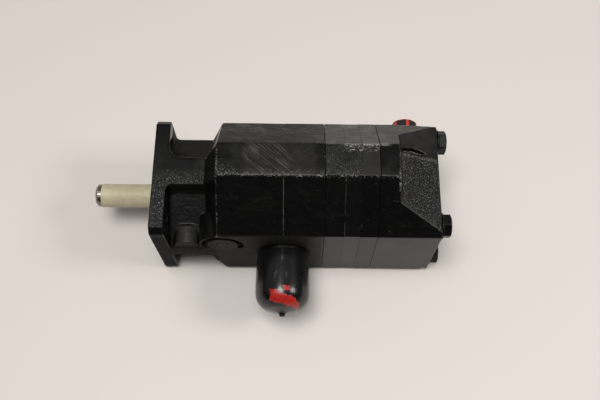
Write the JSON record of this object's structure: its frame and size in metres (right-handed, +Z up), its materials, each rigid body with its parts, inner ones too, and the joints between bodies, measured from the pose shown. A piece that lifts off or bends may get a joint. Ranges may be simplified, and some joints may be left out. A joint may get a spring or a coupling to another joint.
{
  "type": "hydraulic motor",
  "caption": "Square-flanged gerotor hydraulic motor in black-painted cast iron, with a taped output shaft, a capped side port, a plugged port and a ramped rear cover.",
  "frame": {"origin": "centre of the bounding box, on the surface the motor's flat underside stands on", "axes": "+X runs along the shaft from the mounting flange to the rear cover, +Y points to the side with the plugged port, +Z is up"},
  "size_m": [0.3422, 0.1974, 0.142],
  "materials": {
    "black_paint": "semi-gloss paint over a cast surface",
    "dark_steel": "black oxide",
    "bright_steel": "ground",
    "hard_steel": "ground and hardened",
    "bronze": "machined bearing bronze",
    "seal_rubber": "moulded",
    "black_vinyl": "dipped vinyl, glossy",
    "cream_tape": "wound protective tape"
  },
  "bodies": {
    "housing": {"front_housing": "black_paint", "front_port_plate": "black_paint", "eccentric_ring": "black_paint", "rear_port_plate": "black_paint", "rear_cover": "black_paint", "cover_bolt_1": "dark_steel", "cover_bolt_2": "dark_steel", "cover_bolt_3": "dark_steel", "cover_bolt_4": "dark_steel", "bolt_washer_1": "dark_steel", "bolt_washer_2": "dark_steel", "bolt_washer_3": "dark_steel", "bolt_washer_4": "dark_steel", "rear_port_plug": "dark_steel", "drain_plug": "dark_steel", "port_adapter": "dark_steel", "seal_retaining_ring": "dark_steel", "dowel_pin_front": "bright_steel", "dowel_pin_back": "bright_steel", "bearing_outer_race": "hard_steel", "front_bushing": "bronze", "rear_bushing": "bronze", "shaft_seal": "seal_rubber", "front_face_seal": "seal_rubber", "rear_face_seal": "seal_rubber"},
    "shaft": {"output_shaft": "bright_steel", "shaft_wrap": "cream_tape", "rotor_key": "bright_steel", "inner_rotor": "hard_steel", "bearing_inner_race": "hard_steel"},
    "outer_rotor": {"outer_rotor": "hard_steel"},
    "ball_cage": {"bearing_ball_1": "hard_steel", "bearing_ball_2": "hard_steel", "bearing_ball_3": "hard_steel", "bearing_ball_4": "hard_steel", "bearing_ball_5": "hard_steel", "bearing_ball_6": "hard_steel", "bearing_ball_7": "hard_steel", "bearing_ball_8": "hard_steel", "bearing_ball_9": "hard_steel", "bearing_cage": "bronze"},
    "cap": {"port_cap": "black_vinyl"}
  },
  "joints": [
    {"name": "shaft_spin", "type": "hinge", "parent": "housing", "child": "shaft", "pos_m": [-0.1076, 0.02265, 0.055], "axis": [1, 0, 0], "continuous": true},
    {"name": "outer_rotor_spin", "type": "hinge", "parent": "housing", "child": "outer_rotor", "pos_m": [0.0789, 0.02265, 0.0582], "axis": [1, 0, 0], "continuous": true},
    {"name": "cage_spin", "type": "hinge", "parent": "housing", "child": "ball_cage", "pos_m": [-0.0861, 0.02265, 0.055], "axis": [1, 0, 0], "continuous": true},
    {"name": "cap_pull", "type": "slide", "parent": "housing", "child": "cap", "axis": [0, -1, 0], "range_m": [0, 0.06]}
  ],
  "couplings": [
    {"joint": "outer_rotor_spin", "follows": "shaft_spin", "ratio": 0.85714},
    {"joint": "cage_spin", "follows": "shaft_spin", "ratio": 0.3974}
  ]
}
